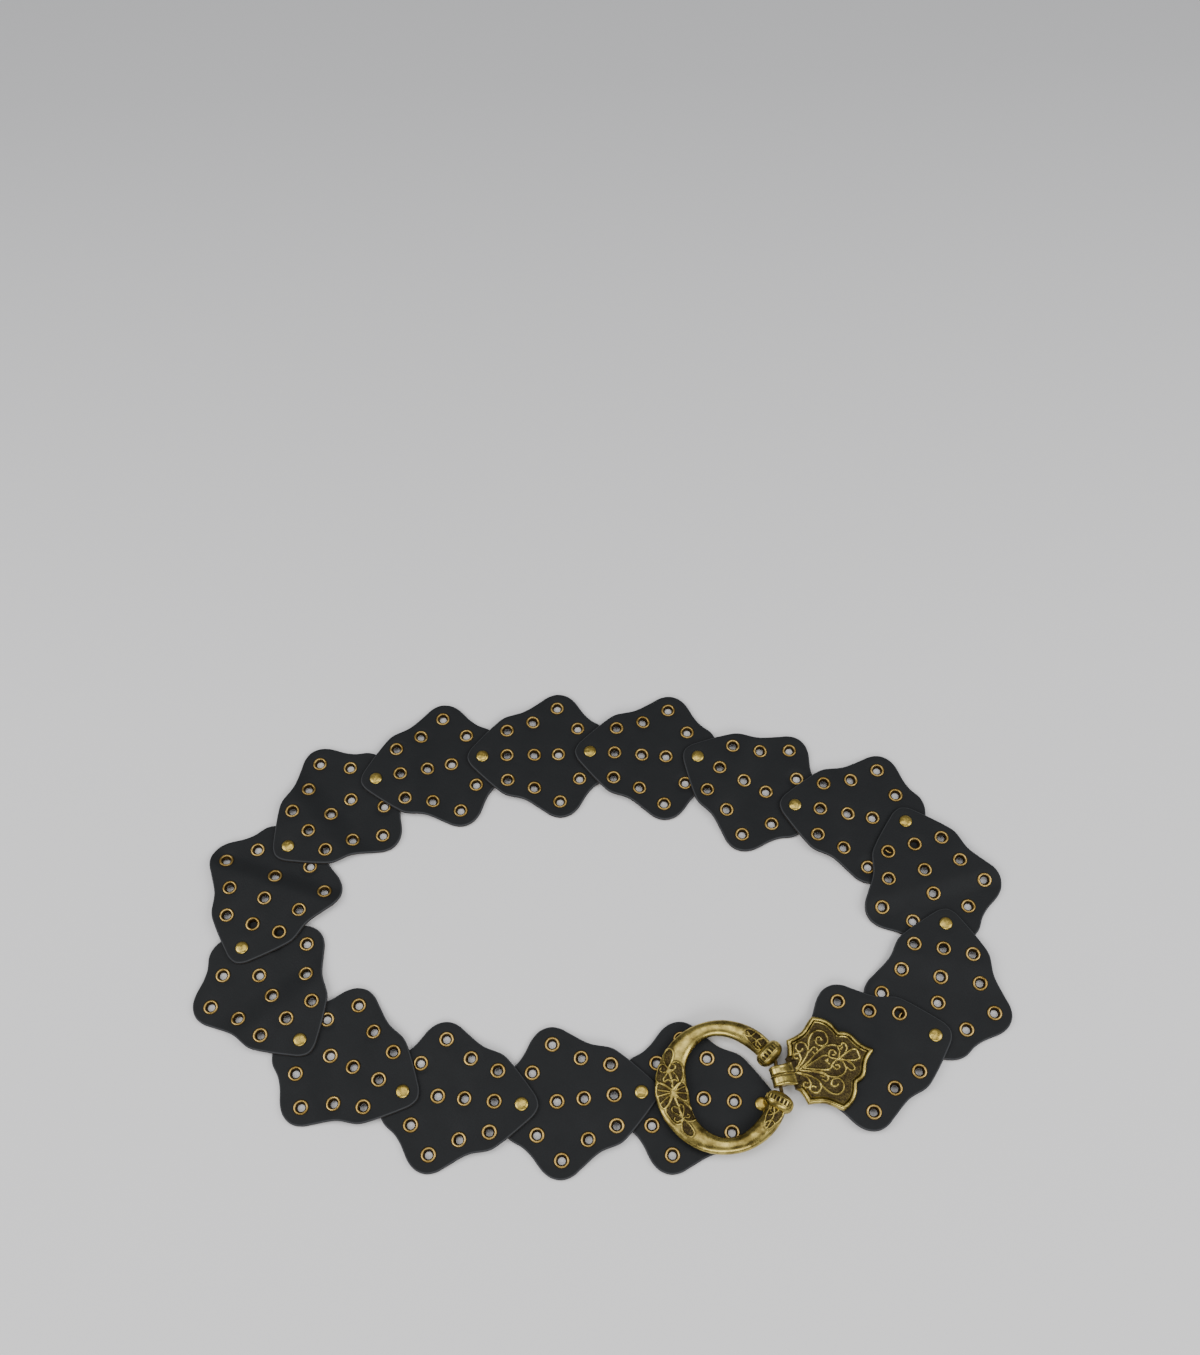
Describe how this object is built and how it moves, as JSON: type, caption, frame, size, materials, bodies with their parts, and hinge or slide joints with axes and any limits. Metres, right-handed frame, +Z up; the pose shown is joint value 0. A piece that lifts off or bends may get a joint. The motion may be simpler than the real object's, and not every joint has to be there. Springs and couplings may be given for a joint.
{
  "type": "medallion belt",
  "caption": "Hip belt of wavy-edged leather plates with brass eyelets, riveted end to end, closed by a hinged cast ring and shield clasp with scroll relief.",
  "frame": {"origin": "centre of the bounding box at the ground the belt lies on", "axes": "+Z up out of the belt's face, +X along the loop's long way, the clasp on the -Y side"},
  "size_m": [0.4965, 0.3114, 0.0144],
  "materials": {
    "leather": "matt charcoal leather with a soft sheen",
    "brass": "satin yellow brass, a little tarnished",
    "antique_brass": "antiqued cast brass, dark in the recesses"
  },
  "bodies": {
    "belt": {"plate_01": "leather", "plate_02": "leather", "plate_03": "leather", "plate_04": "leather", "plate_05": "leather", "plate_06": "leather", "plate_07": "leather", "plate_08": "leather", "plate_09": "leather", "plate_10": "leather", "plate_11": "leather", "plate_12": "leather", "plate_13": "leather", "plate_14": "leather", "plate_15": "leather", "rivet_01": "brass", "rivet_02": "brass", "rivet_03": "brass", "rivet_04": "brass", "rivet_05": "brass", "rivet_06": "brass", "rivet_07": "brass", "rivet_08": "brass", "rivet_09": "brass", "rivet_10": "brass", "rivet_11": "brass", "rivet_12": "brass", "rivet_13": "brass", "rivet_14": "brass", "rivet_15": "brass", "shield_plate": "antique_brass", "hinge_pin": "brass"},
    "ring": {"ring": "antique_brass"}
  },
  "joints": [
    {"name": "ring_hinge", "type": "hinge", "parent": "belt", "child": "ring", "pos_m": [0.09911, -0.10378, 0.0082], "axis": [-0.1167, 0.9932, 0], "range_deg": [0, 100]}
  ]
}
